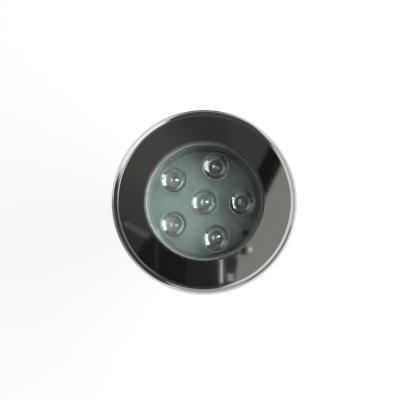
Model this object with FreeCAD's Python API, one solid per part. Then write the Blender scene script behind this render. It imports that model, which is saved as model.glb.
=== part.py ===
import FreeCAD, Part
import math
import os

# A submersible fountain light on a tilting bracket, in millimetres.
# A round lamp looks straight up (+Z) through a thick glass held by a wide polished steel bezel.
# Its drawn steel can hangs between the arms of a bent bracket on two bolts, and tilts about the X axis
# that runs through them. The origin lies on the floor under the middle of the bracket.

# Bezel: one drawn ring of sheet with a rolled rim, and a lip that turns down on to the glass gasket
bezel_diameter = 150.0
bezel_band_width = 27.2
bezel_sheet = 1.5
rim_roll_radius = 6.0
rim_skirt_depth = 13.0
lip_roll_radius = 0.5
lip_depth = 3.5

# Glass and the channel gasket round its edge
glass_thickness = 8.0
glass_overlap_share = 0.32
glass_bevel = 0.8
gasket_top_lip = 1.0
gasket_bottom_lip = 1.5
gasket_wall = 1.5
gasket_grip = 6.0
gasket_reach = 1.8
gasket_bead_rise = 2.0
gasket_bead_top_width = 0.5
gasket_bead_gap = 0.2
gasket_corner_radius = 1.4
glass_clearance = 0.1

# Can: a drawn cup, and a pressed mouth ring welded on it that seats the glass and carries the bezel studs
can_sheet = 1.5
glass_seat_width = 7.0
can_corner_radius = 12.5
seat_corner_radius = 1.0
flange_edge_radius = 2.5
recess_clearance = 0.2
flange_gap = 1.0
flange_skirt_gap = 2.0

# Bezel fixings: weld studs behind the bezel, with washers and nuts under the flange
stud_count = 6
stud_first_angle = 30.0
stud_diameter = 4.0
stud_hole_clearance = 0.3
stud_spare_length = 2.0
stud_washer_diameter = 9.0
stud_washer_thickness = 0.8
stud_nut_across_flats = 7.0
stud_nut_height = 3.2
thread_clearance = 0.1
hex_ease_share = 0.6

# Optics: one lens in the middle and a ring of lenses round it, each in its own cup on the board
ring_lens_count = 5
optic_gap = 2.0
lens_diameter = 21.0
lens_height = 11.0
lens_foot_diameter = 10.0
lens_rim_height = 1.5
lens_rim_step = 0.5
lens_side_bulge = 0.9
lens_cavity_diameter = 6.8
lens_cavity_depth = 4.5
lens_cavity_rise = 1.4
lens_land_width = 0.9
lens_dish_depth = 2.2
lens_dish_floor_diameter = 8.0
lens_dimple_diameter = 5.0
lens_dimple_depth = 0.8
cup_clearance = 0.2
cup_wall = 0.8
cup_floor = 1.2
cup_window_width = 11.0
cup_window_count = 3
cup_edge_margin = 6.05
chip_size = 3.5
chip_height = 0.9
chip_dome_radius = 1.4

# Reflector cone that stands on the board round the lenses
cone_wall = 0.9
cone_cup_gap = 0.7
cone_can_gap = 0.4
cone_glass_gap = 2.7

# Boards and the plate that carries them
board_thickness = 1.6
board_edge_margin = 0.8
pad_thickness = 0.5
pad_edge_margin = 1.0
plate_thickness = 4.0
plate_clearance = 0.2
post_length = 36.0
post_across_flats = 5.5
post_edge_margin = 2.0
plate_screw_diameter = 3.0
plate_screw_head_diameter = 5.5
plate_screw_grip = 8.0
plate_screw_sink = 0.1
screw_hole_clearance = 0.25

# Driver under the plate
driver_post_gap = 1.5
spacer_length = 8.0
spacer_diameter = 6.0
driver_screw_diameter = 3.0
driver_screw_head_diameter = 5.5
driver_screw_head_height = 2.0
driver_screw_bite = 3.0
driver_screw_tip_gap = 0.5
driver_hole_inset = 4.0
driver_part_gap = 1.0
driver_edge_gap = 1.5
capacitor_diameter = 8.0
capacitor_height = 11.0
capacitor_edge_round = 0.8
inductor_diameter = 12.0
inductor_height = 8.0
inductor_flange = 1.4
inductor_waist = 1.2
regulator_size = 6.0
regulator_height = 1.6
diode_count = 4
diode_length = 4.6
diode_width = 2.7
diode_height = 2.2
diode_pitch = 4.4
terminal_length = 10.2
terminal_width = 8.0
terminal_height = 9.0
terminal_mouth = 2.6
terminal_mouth_floor = 1.5

# Leads from the driver up to the board
lead_diameter = 1.6
lead_spacing = 2.4
lead_bend_radius = 3.0
lead_loop_width = 4.0
lead_loop_height = 5.0
lead_edge_margin = 7.0
lead_run = 23.0
grommet_bore_clearance = 0.4
grommet_wall = 1.2
grommet_lip = 1.0
grommet_lip_reach = 1.0

# Cable gland in the middle of the can's bottom
gland_thread_diameter = 16.0
gland_hole_clearance = 0.15
gland_across_flats = 22.0
gland_hex_height = 5.0
gland_washer_thickness = 1.5
gland_washer_width = 3.0
gland_locknut_height = 4.5
gland_thread_spare = 2.0
gland_lower_thread = 10.0
gland_bore = 10.4
gland_seal_socket = 12.8
gland_seal_fit = 0.1
gland_seal_sleeve = 9.0
gland_seal_shoulder = 3.0
gland_nut_gap = 1.0
gland_nut_floor = 3.0
gland_nut_dome_radius = 3.5
gland_mouth_diameter = 10.0
cable_bore = 8.0

# Tilt pivot: threaded bosses welded to the can, with a bolt and washers on each side
pivot_below_face = 36.0
boss_diameter = 16.0
boss_length = 8.5
weld_gap = 0.05
pivot_bolt_diameter = 6.0
pivot_bolt_head_across_flats = 10.0
pivot_bolt_head_height = 4.0
pivot_bolt_tip_gap = 1.0
pivot_washer_diameter = 12.0
friction_washer_setback = 4.0
friction_washer_thickness = 1.0
flat_washer_thickness = 1.2
spring_washer_thickness = 1.6
spring_washer_split = 1.2
spring_washer_setback = 0.5
pivot_running_clearance = 0.08
pivot_side_gap = 0.1

# Bracket: a strip bent to a U, with tapered arms
bracket_sheet = 2.5
bracket_width = 36.0
bracket_bend_radius = 7.0
bracket_shoulder_height = 18.0
arm_end_radius = 13.0
rim_floor_gap = 7.0
anchor_hole_diameter = 7.0
anchor_spacing = 70.0

# Levels, counted down from the bezel's face
lip_foot = lip_depth
glass_top = lip_foot + gasket_top_lip
glass_bottom = glass_top + glass_thickness
seat_level = glass_bottom + gasket_bottom_lip
flange_top = bezel_sheet + flange_gap
flange_bottom = flange_top + can_sheet
lens_top = glass_bottom + optic_gap
board_top = lens_top + lens_height + cup_floor
board_bottom = board_top + board_thickness
plate_top = board_bottom + pad_thickness
plate_bottom = plate_top + plate_thickness
can_floor = plate_bottom + post_length
can_bottom = can_floor + can_sheet
driver_top = plate_bottom + spacer_length
driver_bottom = driver_top + board_thickness
gland_hex_top = can_bottom + gland_washer_thickness
gland_hex_bottom = gland_hex_top + gland_hex_height
gland_nut_top = gland_hex_bottom + gland_nut_gap
gland_thread_end = gland_hex_bottom + gland_lower_thread
gland_seal_top = gland_thread_end - gland_seal_sleeve
gland_seal_bottom = gland_thread_end + gland_seal_shoulder
gland_nut_bottom = gland_seal_bottom + gland_nut_floor

# Radii, worked out from the window outwards and from the can inwards
bezel_radius = bezel_diameter / 2
window_radius = bezel_radius - bezel_band_width
glass_radius = window_radius + glass_overlap_share * bezel_band_width
gasket_radius = glass_radius + glass_clearance + gasket_wall
recess_radius = gasket_radius + recess_clearance
can_radius = glass_radius - glass_seat_width
can_outer_radius = can_radius + can_sheet
flange_radius = bezel_radius - bezel_sheet - flange_skirt_gap
flange_inner_radius = recess_radius + can_sheet
stud_circle_radius = (flange_inner_radius + flange_radius) / 2
plate_radius = can_radius - plate_clearance
board_radius = plate_radius - board_edge_margin
lens_radius = lens_diameter / 2
cup_inner_radius = lens_radius + cup_clearance
cup_radius = cup_inner_radius + cup_wall
lens_circle_radius = board_radius - cup_edge_margin - cup_radius
post_corner = post_across_flats / math.sqrt(3)
post_circle_radius = can_radius - can_corner_radius - post_edge_margin - post_corner
lead_circle_radius = board_radius - lead_edge_margin
lead_inner_radius = lead_circle_radius - lead_loop_width
grommet_bore = lead_spacing / 2 + lead_diameter / 2 + grommet_bore_clearance
grommet_radius = grommet_bore + grommet_wall
gland_thread_radius = gland_thread_diameter / 2
gland_hole_radius = gland_thread_radius + gland_hole_clearance

# Angles round the lamp: lenses start on +X, and the screws and leads use the gaps between them
lens_step = 360.0 / ring_lens_count
ring_lens_angles = [lens_step * i for i in range(ring_lens_count)]
gap_angles = [angle + lens_step / 2 for angle in ring_lens_angles]
lead_angle = gap_angles[-1]
post_angles = gap_angles[:-1]
stud_angles = [stud_first_angle + 360.0 / stud_count * i for i in range(stud_count)]

# Heights over the floor, and places along the tilt axis
pivot_height = bezel_radius + rim_floor_gap
face_height = pivot_height + pivot_below_face
boss_end = can_outer_radius + boss_length
arm_inner = boss_end + friction_washer_thickness + pivot_side_gap
arm_outer = arm_inner + bracket_sheet
flat_washer_start = arm_outer + pivot_side_gap
spring_washer_start = flat_washer_start + flat_washer_thickness
bolt_head_start = spring_washer_start + spring_washer_thickness
pivot_bolt_radius = pivot_bolt_diameter / 2
friction_washer_diameter = 2 * (arm_end_radius - friction_washer_setback)

UP = FreeCAD.Vector(0, 0, 1)
ALONG_X = FreeCAD.Vector(1, 0, 0)
ORIGIN = FreeCAD.Vector(0, 0, 0)


def level(depth):
    """Height over the floor of a level that lies this far below the bezel's face."""
    return face_height - depth


def rounded_face(points):
    """Flat XZ face through (x, z, corner radius) points. A corner with a radius becomes a tangent arc."""
    count = len(points)
    starts, ends, arcs = [], [], []
    for i, (x, z, radius) in enumerate(points):
        corner = FreeCAD.Vector(x, 0, z)
        if radius <= 0:
            starts.append(corner)
            ends.append(corner)
            arcs.append(None)
            continue
        before = FreeCAD.Vector(points[i - 1][0], 0, points[i - 1][1]) - corner
        after = FreeCAD.Vector(points[(i + 1) % count][0], 0, points[(i + 1) % count][1]) - corner
        before.normalize()
        after.normalize()
        half = before.getAngle(after) / 2
        middle = before + after
        middle.normalize()
        start = corner + before * (radius / math.tan(half))
        end = corner + after * (radius / math.tan(half))
        crown = corner + middle * (radius / math.sin(half) - radius)
        starts.append(start)
        ends.append(end)
        arcs.append(Part.Arc(start, crown, end).toShape())
    edges = []
    for i in range(count):
        if arcs[i] is not None:
            edges.append(arcs[i])
        following = starts[(i + 1) % count]
        if ends[i].distanceToPoint(following) > 1e-6:
            edges.append(Part.LineSegment(ends[i], following).toShape())
    return Part.Face(Part.Wire(edges))


def spin(points):
    """Solid of revolution about Z from an XZ outline."""
    return rounded_face(points).revolve(ORIGIN, UP, 360)


def sheet_outline(path, sheet):
    """Closed outline of a bent sheet. The path is one surface, and the metal lies to its right."""
    directions = []
    for (x0, z0, _), (x1, z1, _) in zip(path, path[1:]):
        length = math.hypot(x1 - x0, z1 - z0)
        directions.append(((x1 - x0) / length, (z1 - z0) / length))
    back = []
    for i, (x, z, radius) in enumerate(path):
        first = directions[max(i - 1, 0)]
        second = directions[min(i, len(directions) - 1)]
        share = sheet / (1 + first[0] * second[0] + first[1] * second[1])
        offset_x = (first[1] + second[1]) * share
        offset_z = -(first[0] + second[0]) * share
        turn = first[0] * second[1] - first[1] * second[0]
        back_radius = max(0, radius + math.copysign(sheet, turn)) if radius else 0
        back.append((x + offset_x, z + offset_z, back_radius))
    return path + back[::-1]


def ring(outer, inner, low, high):
    """Flat ring about Z between two heights."""
    return spin([(inner, low, 0), (outer, low, 0), (outer, high, 0), (inner, high, 0)])


def rod(radius, low, high, x=0.0, y=0.0):
    """Upright round bar."""
    return Part.makeCylinder(radius, high - low, FreeCAD.Vector(x, y, low), UP)


def hex_prism(across_flats, low, high):
    """Upright hexagonal bar on the Z axis, with its corners eased at both ends."""
    corner = across_flats / math.sqrt(3)
    points = [FreeCAD.Vector(corner * math.cos(math.radians(a)), corner * math.sin(math.radians(a)), low)
              for a in range(0, 361, 60)]
    prism = Part.Face(Part.makePolygon(points)).extrude(UP * (high - low))
    ease = (corner - across_flats / 2) * hex_ease_share
    envelope = spin([(0, low, 0), (across_flats / 2, low, 0), (corner, low + ease, 0),
                     (corner, high - ease, 0), (across_flats / 2, high, 0), (0, high, 0)])
    return prism.common(envelope)


def moved(shape, x=0.0, y=0.0, z=0.0):
    """Copy of a shape, shifted."""
    copy = shape.copy()
    copy.translate(FreeCAD.Vector(x, y, z))
    return copy


def turned(shape, angle):
    """Copy of a shape, turned about Z."""
    copy = shape.copy()
    copy.rotate(ORIGIN, UP, angle)
    return copy


def around(shape, radius, angles):
    """Copies of a shape that stands on the Z axis, set out on a circle."""
    return [turned(moved(shape, radius), angle) for angle in angles]


def laid_on_pivot(shape):
    """Turns a shape from the Z axis on to the tilt axis: its height becomes its distance along +X."""
    copy = shape.copy()
    copy.rotate(ORIGIN, FreeCAD.Vector(0, 1, 0), 90)
    copy.translate(UP * pivot_height)
    return copy


def both_sides(shape):
    """A piece on the +X side of the lamp and its twin on the -X side."""
    return [shape, turned(shape, 180)]


def save(name, shapes):
    """Writes one node, a single solid or a group of like solids."""
    solids = shapes if isinstance(shapes, list) else [shapes]
    for solid in solids:
        if not solid.isValid() or solid.Volume <= 0:
            raise ValueError(f"{name} has a bad solid")
    shape = solids[0] if len(solids) == 1 else Part.makeCompound(solids)
    shape.exportStep(f"parts/{name}.step")


def make_bezel():
    """One bent sheet: the lip at the window, the flat band, the rolled rim and its skirt."""
    path = [(window_radius, level(lip_foot), 0), (window_radius, level(0), lip_roll_radius),
            (bezel_radius, level(0), rim_roll_radius), (bezel_radius, level(rim_skirt_depth), 0)]
    return spin(sheet_outline(path, bezel_sheet))


def make_glass():
    """Thick disc with ground bevels at its edge."""
    top, bottom = level(glass_top), level(glass_bottom)
    flat = glass_radius - glass_bevel
    return spin([(0, bottom, 0), (flat, bottom, 0), (glass_radius, bottom + glass_bevel, 0),
                 (glass_radius, top - glass_bevel, 0), (flat, top, 0), (0, top, 0)])


def make_gasket():
    """Channel round the glass's edge, with a bead that stands up inside the bezel's window."""
    channel = glass_radius + glass_clearance
    grip_edge = glass_radius - gasket_grip
    bead_outer = window_radius - gasket_bead_gap
    bead_top = level(lip_foot - gasket_bead_rise)
    return spin([(bead_outer - gasket_bead_top_width, bead_top, 0), (bead_outer, bead_top, 0),
                 (bead_outer, level(lip_foot), 0),
                 (gasket_radius, level(lip_foot), gasket_corner_radius / 2),
                 (gasket_radius, level(seat_level), gasket_corner_radius),
                 (grip_edge, level(seat_level), 0), (grip_edge, level(glass_bottom), 0),
                 (channel, level(glass_bottom), 0), (channel, level(glass_top), 0),
                 (window_radius - gasket_reach, level(glass_top), 0)])


def make_can():
    """Drawn cup with a hole for the gland in its floor."""
    path = [(gland_hole_radius, level(can_floor), 0), (can_radius, level(can_floor), can_corner_radius),
            (can_radius, level(seat_level + can_sheet), 0)]
    return spin(sheet_outline(path, can_sheet))


def make_mouth_ring():
    """Pressed ring: a flat seat for the gasket, a step up round it and a flange with the stud holes."""
    path = [(can_radius, level(seat_level), 0), (recess_radius, level(seat_level), seat_corner_radius),
            (recess_radius, level(flange_top), flange_edge_radius), (flange_radius, level(flange_top), 0)]
    mouth = spin(sheet_outline(path, can_sheet))
    hole = rod(stud_diameter / 2 + stud_hole_clearance, level(flange_bottom + 1), level(flange_top - 1))
    for stud_hole in around(hole, stud_circle_radius, stud_angles):
        mouth = mouth.cut(stud_hole)
    return mouth


def make_bezel_fixings():
    """Studs behind the bezel, with a washer and a nut on each under the flange."""
    washer_bottom = flange_bottom + stud_washer_thickness
    nut_bottom = washer_bottom + stud_nut_height
    bore = stud_diameter / 2 + thread_clearance
    stud = rod(stud_diameter / 2, level(nut_bottom + stud_spare_length), level(bezel_sheet))
    washer = ring(stud_washer_diameter / 2, stud_diameter / 2 + stud_hole_clearance,
                  level(washer_bottom), level(flange_bottom))
    nut = hex_prism(stud_nut_across_flats, level(nut_bottom), level(washer_bottom))
    nut = nut.cut(rod(bore, level(nut_bottom), level(washer_bottom)))
    save("bezel_studs", around(stud, stud_circle_radius, stud_angles))
    save("bezel_washers", around(washer, stud_circle_radius, stud_angles))
    save("bezel_nuts", around(nut, stud_circle_radius, stud_angles))


def make_lens():
    """Moulded collimator: a flared side, a hollow foot over the chip, and a dished front with a dimple."""
    foot = level(board_top - cup_floor)
    front = foot + lens_height
    rim_foot = front - lens_rim_height
    neck = lens_radius - lens_rim_step
    foot_radius = lens_foot_diameter / 2
    cavity = lens_cavity_diameter / 2
    dimple = lens_dimple_diameter / 2
    land = lens_radius - lens_land_width
    dish = lens_dish_floor_diameter / 2
    dish_floor = front - lens_dish_depth
    crown_x = (foot_radius + neck) / 2 + lens_side_bulge
    crown_z = (foot + rim_foot) / 2 - lens_side_bulge

    def line(x0, z0, x1, z1):
        return Part.LineSegment(FreeCAD.Vector(x0, 0, z0), FreeCAD.Vector(x1, 0, z1)).toShape()

    def arc(x0, z0, x1, z1, x2, z2):
        points = [FreeCAD.Vector(x0, 0, z0), FreeCAD.Vector(x1, 0, z1), FreeCAD.Vector(x2, 0, z2)]
        return Part.Arc(*points).toShape()

    def bowl(start_x, start_z, edge_x, edge_z):
        """Arc that leaves its start level and rises or falls to its edge."""
        run, rise = edge_x - start_x, edge_z - start_z
        radius = (run * run + rise * rise) / (2 * abs(rise))
        half = math.asin(run / radius) / 2
        middle_z = start_z + math.copysign(radius * (1 - math.cos(half)), rise)
        return arc(start_x, start_z, start_x + radius * math.sin(half), middle_z, edge_x, edge_z)

    cavity_top = foot + lens_cavity_depth
    cavity_spring = foot + lens_cavity_depth - lens_cavity_rise
    dimple_floor = dish_floor - lens_dimple_depth
    edges = [line(cavity, foot, foot_radius, foot),
             arc(foot_radius, foot, crown_x, crown_z, neck, rim_foot),
             line(neck, rim_foot, lens_radius, rim_foot),
             line(lens_radius, rim_foot, lens_radius, front),
             line(lens_radius, front, land, front),
             bowl(dish, dish_floor, land, front),
             line(dish, dish_floor, dimple, dish_floor),
             bowl(0, dimple_floor, dimple, dish_floor),
             line(0, dimple_floor, 0, cavity_top),
             bowl(0, cavity_top, cavity, cavity_spring),
             line(cavity, cavity_spring, cavity, foot)]
    return Part.Face(Part.Wire(edges)).revolve(ORIGIN, UP, 360)


def make_lens_cup():
    """Clear cup that stands a lens over its chip: a floor with a hole, and a wall with windows."""
    base = level(board_top)
    floor = base + cup_floor
    front = floor + lens_height
    chip_hole = lens_cavity_diameter / 2
    cup = spin([(chip_hole, base, 0), (cup_radius, base, 0), (cup_radius, front, 0),
                (cup_inner_radius, front, 0), (cup_inner_radius, floor, 0), (chip_hole, floor, 0)])
    window_low = floor + lens_rim_height
    window_high = front - lens_rim_height
    window = Part.makeBox(cup_radius, cup_window_width, window_high - window_low,
                          FreeCAD.Vector(cup_inner_radius / 2, -cup_window_width / 2, window_low))
    for i in range(cup_window_count):
        cup = cup.cut(turned(window, 360.0 / cup_window_count * i))
    return cup


def make_chip():
    """Surface-mounted light chip: a square base with a moulded dome."""
    base = level(board_top)
    corner = FreeCAD.Vector(-chip_size / 2, -chip_size / 2, base)
    body = Part.makeBox(chip_size, chip_size, chip_height, corner)
    dome = Part.makeSphere(chip_dome_radius, FreeCAD.Vector(0, 0, base + chip_height), UP, 0, 90, 360)
    return body.fuse(dome).removeSplitter()


def make_optics():
    """A lens, its cup and its chip at each place: one in the middle and the rest on a circle."""
    places = [(0.0, 0.0)] + [(lens_circle_radius, angle) for angle in ring_lens_angles]
    kinds = {"lens": make_lens(), "lens_cup": make_lens_cup(), "light_chip": make_chip()}
    for name, shape in kinds.items():
        for number, (radius, angle) in enumerate(places, start=1):
            save(f"{name}_{number}", around(shape, radius, [angle])[0])


def make_reflector_cone():
    """Pale ring that hides the board's edge and widens towards the glass."""
    foot = lens_circle_radius + cup_radius + cone_cup_gap
    top = can_radius - cone_can_gap
    low, high = level(board_top), level(glass_bottom + cone_glass_gap)
    return spin([(foot, low, 0), (foot + cone_wall, low, 0), (top, high, 0), (top - cone_wall, high, 0)])


def drilled(shape, radius, low, high, circle, angles):
    """A plate with upright holes on a circle."""
    for hole in around(rod(radius, low - 1, high + 1), circle, angles):
        shape = shape.cut(hole)
    return shape


def driver_extent():
    """The driver board's low and high x and half width in y, inside the ring of posts."""
    keep = post_corner + driver_post_gap
    across = [post_circle_radius * math.cos(math.radians(a)) for a in post_angles]
    sides = [abs(post_circle_radius * math.sin(math.radians(a))) for a in post_angles]
    return min(across) + keep, max(across) - keep, max(sides) - keep


def driver_holes():
    """Places of the four screws that hold the driver board."""
    low_x, high_x, half_y = driver_extent()
    xs = (low_x + driver_hole_inset, high_x - driver_hole_inset)
    ys = (-half_y + driver_hole_inset, half_y - driver_hole_inset)
    return [(x, y) for x in xs for y in ys]


def make_carrier():
    """Heat-spreading plate on posts, with the light board on an adhesive pad above it."""
    low, high = level(plate_bottom), level(plate_top)
    plate = rod(plate_radius, low, high)
    plate = drilled(plate, grommet_radius, low, high, lead_circle_radius, [lead_angle])
    bite = driver_screw_bite + driver_screw_tip_gap
    for x, y in driver_holes():
        plate = plate.cut(rod(driver_screw_diameter / 2 + thread_clearance, low - 1, low + bite, x, y))
    clear = plate_screw_diameter / 2 + screw_hole_clearance
    mouth = plate_screw_head_diameter / 2 + screw_hole_clearance
    sink = spin([(0, low - 1, 0), (clear, low - 1, 0), (clear, high - mouth + clear, 0),
                 (mouth, high, 0), (mouth, high + 1, 0), (0, high + 1, 0)])
    for hole in around(sink, post_circle_radius, post_angles):
        plate = plate.cut(hole)
    save("carrier_plate", plate)
    low, high = level(plate_top), level(board_bottom)
    pad_hole = grommet_radius + grommet_lip_reach + grommet_bore_clearance
    pad = rod(board_radius - pad_edge_margin, low, high)
    save("thermal_pad", drilled(pad, pad_hole, low, high, lead_circle_radius, [lead_angle]))
    low, high = level(board_bottom), level(board_top)
    board = rod(board_radius, low, high)
    save("light_board", drilled(board, grommet_bore, low, high, lead_circle_radius, [lead_angle]))


def make_carrier_fixings():
    """Hexagonal posts on the can's floor, and the sunk screws that hold the plate down on them."""
    screw_radius = plate_screw_diameter / 2
    head_radius = plate_screw_head_diameter / 2
    screw_tip = plate_bottom + plate_screw_grip
    head_top = level(plate_top + plate_screw_sink)
    head_foot = head_top - head_radius + screw_radius
    post = hex_prism(post_across_flats, level(can_floor), level(plate_bottom))
    thread = rod(screw_radius + thread_clearance, level(screw_tip + 1), level(plate_bottom) + 1)
    screw = spin([(0, level(screw_tip), 0), (screw_radius, level(screw_tip), 0),
                  (screw_radius, head_foot, 0), (head_radius, head_top, 0), (0, head_top, 0)])
    save("carrier_posts", around(post.cut(thread), post_circle_radius, post_angles))
    save("plate_screws", around(screw, post_circle_radius, post_angles))


def make_driver():
    """Current driver: a board hung under the plate on spacers and screws."""
    low_x, high_x, half_y = driver_extent()
    top, bottom = level(driver_top), level(driver_bottom)
    corner = FreeCAD.Vector(low_x, -half_y, bottom)
    board = Part.makeBox(high_x - low_x, 2 * half_y, board_thickness, corner)
    hole = driver_screw_diameter / 2 + screw_hole_clearance
    spacers, screws = [], []
    for x, y in driver_holes():
        board = board.cut(rod(hole, bottom - 1, top + 1, x, y))
        spacers.append(moved(ring(spacer_diameter / 2, hole, top, level(plate_bottom)), x, y))
        head = rod(driver_screw_head_diameter / 2, bottom - driver_screw_head_height, bottom, x, y)
        shank = rod(driver_screw_diameter / 2, bottom, level(plate_bottom) + driver_screw_bite, x, y)
        screws.append(head.fuse(shank).removeSplitter())
    save("driver_board", board)
    save("driver_spacers", spacers)
    save("driver_screws", screws)


def block(length, width, height, x, y, top):
    """Box with the middle of its top face at a place."""
    return Part.makeBox(length, width, height, FreeCAD.Vector(x - length / 2, y - width / 2, top - height))


def make_driver_parts():
    """The driver's parts, all on the underside of its board."""
    low_x, high_x, half_y = driver_extent()
    bottom = level(driver_bottom)
    can_r, can_foot = capacitor_diameter / 2, bottom - capacitor_height
    column = low_x + driver_hole_inset + driver_screw_head_diameter / 2 + can_r
    capacitor = spin([(0, can_foot, 0), (can_r, can_foot, capacitor_edge_round),
                      (can_r, bottom, 0), (0, bottom, 0)])
    spread = can_r + driver_part_gap
    save("driver_capacitors", [moved(capacitor, column, side * spread) for side in (-1, 1)])
    core, waist = inductor_diameter / 2, inductor_diameter / 2 - inductor_waist
    foot = bottom - inductor_height
    bobbin = spin([(0, foot, 0), (core, foot, 0), (core, foot + inductor_flange, 0),
                   (waist, foot + inductor_flange, 0), (waist, bottom - inductor_flange, 0),
                   (core, bottom - inductor_flange, 0), (core, bottom, 0), (0, bottom, 0)])
    middle = column + can_r + driver_part_gap + core
    save("driver_inductor", moved(bobbin, middle, half_y - driver_hole_inset - core))
    save("driver_regulator", block(regulator_size, regulator_size, regulator_height, middle,
                                   -regulator_size / 4, bottom))
    diode_x = high_x - driver_edge_gap - diode_length / 2
    diode = block(diode_length, diode_width, diode_height, diode_x, 0, bottom)
    first_y = -diode_pitch * (diode_count - 1) / 2
    save("driver_diodes", [moved(diode, 0, first_y + diode_pitch * i) for i in range(diode_count)])
    terminal_y = -half_y + driver_edge_gap + terminal_width / 2
    terminal = block(terminal_length, terminal_width, terminal_height, middle, terminal_y, bottom)
    mouth_top = bottom - terminal_height + terminal_mouth_floor + terminal_mouth
    for side in (-1, 1):
        x = middle + side * terminal_length / 4
        y = terminal_y - terminal_mouth
        terminal = terminal.cut(block(terminal_mouth, terminal_width, terminal_mouth, x, y, mouth_top))
    save("supply_terminal", terminal)


def rounded_path(corners):
    """Open wire through (point, bend radius) corners, straight runs joined by tangent arcs."""
    edges, last = [], corners[0][0]
    for (before, _), (corner, radius), (after, _) in zip(corners, corners[1:], corners[2:]):
        back = (before - corner).normalize()
        ahead = (after - corner).normalize()
        half = back.getAngle(ahead) / 2
        start = corner + back * (radius / math.tan(half))
        end = corner + ahead * (radius / math.tan(half))
        crown = corner + (back + ahead).normalize() * (radius / math.sin(half) - radius)
        if last.distanceToPoint(start) > 1e-6:
            edges.append(Part.LineSegment(last, start).toShape())
        edges.append(Part.Arc(start, crown, end).toShape())
        last = end
    edges.append(Part.LineSegment(last, corners[-1][0]).toShape())
    return Part.Wire(edges)


def make_leads():
    """Two insulated leads: off the driver, under the plate, up through a grommet and on to the board."""
    under = (level(driver_top) + level(plate_bottom)) / 2
    over = level(board_top) + lead_loop_height
    loop = lead_loop_width / 2
    start_radius = lead_circle_radius - lead_run
    for name, side in (("lead_positive", 1), ("lead_negative", -1)):
        y = side * lead_spacing / 2
        corners = [(FreeCAD.Vector(start_radius, y, level(driver_top)), 0),
                   (FreeCAD.Vector(start_radius, y, under), lead_bend_radius),
                   (FreeCAD.Vector(lead_circle_radius, y, under), lead_bend_radius),
                   (FreeCAD.Vector(lead_circle_radius, y, over), loop),
                   (FreeCAD.Vector(lead_inner_radius, y, over), loop),
                   (FreeCAD.Vector(lead_inner_radius, y, level(board_top)), 0)]
        path = rounded_path(corners)
        circle = Part.makeCircle(lead_diameter / 2, corners[0][0], UP)
        lead = path.makePipeShell([Part.Wire(circle)], True, False)
        save(name, turned(Part.Solid(lead), lead_angle))
    low, high = level(plate_bottom) - grommet_lip, level(plate_top)
    lip = grommet_radius + grommet_lip_reach
    grommet = spin([(grommet_bore, low, 0), (lip, low, 0), (lip, level(plate_bottom), 0),
                    (grommet_radius, level(plate_bottom), 0), (grommet_radius, high, 0),
                    (grommet_bore, high, 0)])
    save("lead_grommet", around(grommet, lead_circle_radius, [lead_angle])[0])


def make_gland_body():
    """Threaded gland body through the can's floor, with its flat seal outside and locknut inside."""
    thread_top = can_floor - gland_locknut_height - gland_thread_spare
    body = hex_prism(gland_across_flats, level(gland_hex_bottom), level(gland_hex_top))
    body = body.fuse(rod(gland_thread_radius, level(gland_thread_end), level(thread_top))).removeSplitter()
    body = body.cut(rod(gland_bore / 2, level(gland_thread_end + 1), level(thread_top - 1)))
    socket_top = level(gland_seal_top - gland_seal_fit)
    save("gland_body", body.cut(rod(gland_seal_socket / 2, level(gland_thread_end + 1), socket_top)))
    save("gland_washer", ring(gland_hole_radius + gland_washer_width, gland_hole_radius,
                              level(gland_hex_top), level(can_bottom)))
    low, high = level(can_floor), level(can_floor - gland_locknut_height)
    locknut = hex_prism(gland_across_flats, low, high)
    save("gland_locknut", locknut.cut(rod(gland_thread_radius + thread_clearance, low - 1, high + 1)))


def make_gland_cap():
    """Rubber sleeve that grips the cable, and the domed cap that squeezes it."""
    sleeve = gland_seal_socket / 2 - gland_seal_fit
    shoulder = gland_thread_radius - gland_seal_fit
    bore = cable_bore / 2
    save("gland_seal", spin([(bore, level(gland_seal_bottom), 0), (shoulder, level(gland_seal_bottom), 0),
                             (shoulder, level(gland_thread_end), 0), (sleeve, level(gland_thread_end), 0),
                             (sleeve, level(gland_seal_top), 0), (bore, level(gland_seal_top), 0)]))
    dome_top = gland_nut_bottom - gland_nut_dome_radius
    dome_radius = gland_across_flats / 2
    cap = hex_prism(gland_across_flats, level(dome_top), level(gland_nut_top))
    dome = spin([(0, level(gland_nut_bottom), 0),
                 (dome_radius, level(gland_nut_bottom), gland_nut_dome_radius),
                 (dome_radius, level(dome_top - 1), 0), (0, level(dome_top - 1), 0)])
    cap = cap.fuse(dome).removeSplitter()
    thread = rod(gland_thread_radius + thread_clearance, level(gland_seal_bottom), level(gland_nut_top - 1))
    mouth = rod(gland_mouth_diameter / 2, level(gland_nut_bottom + 1), level(gland_nut_top))
    save("gland_cap", cap.cut(thread).cut(mouth))


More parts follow.
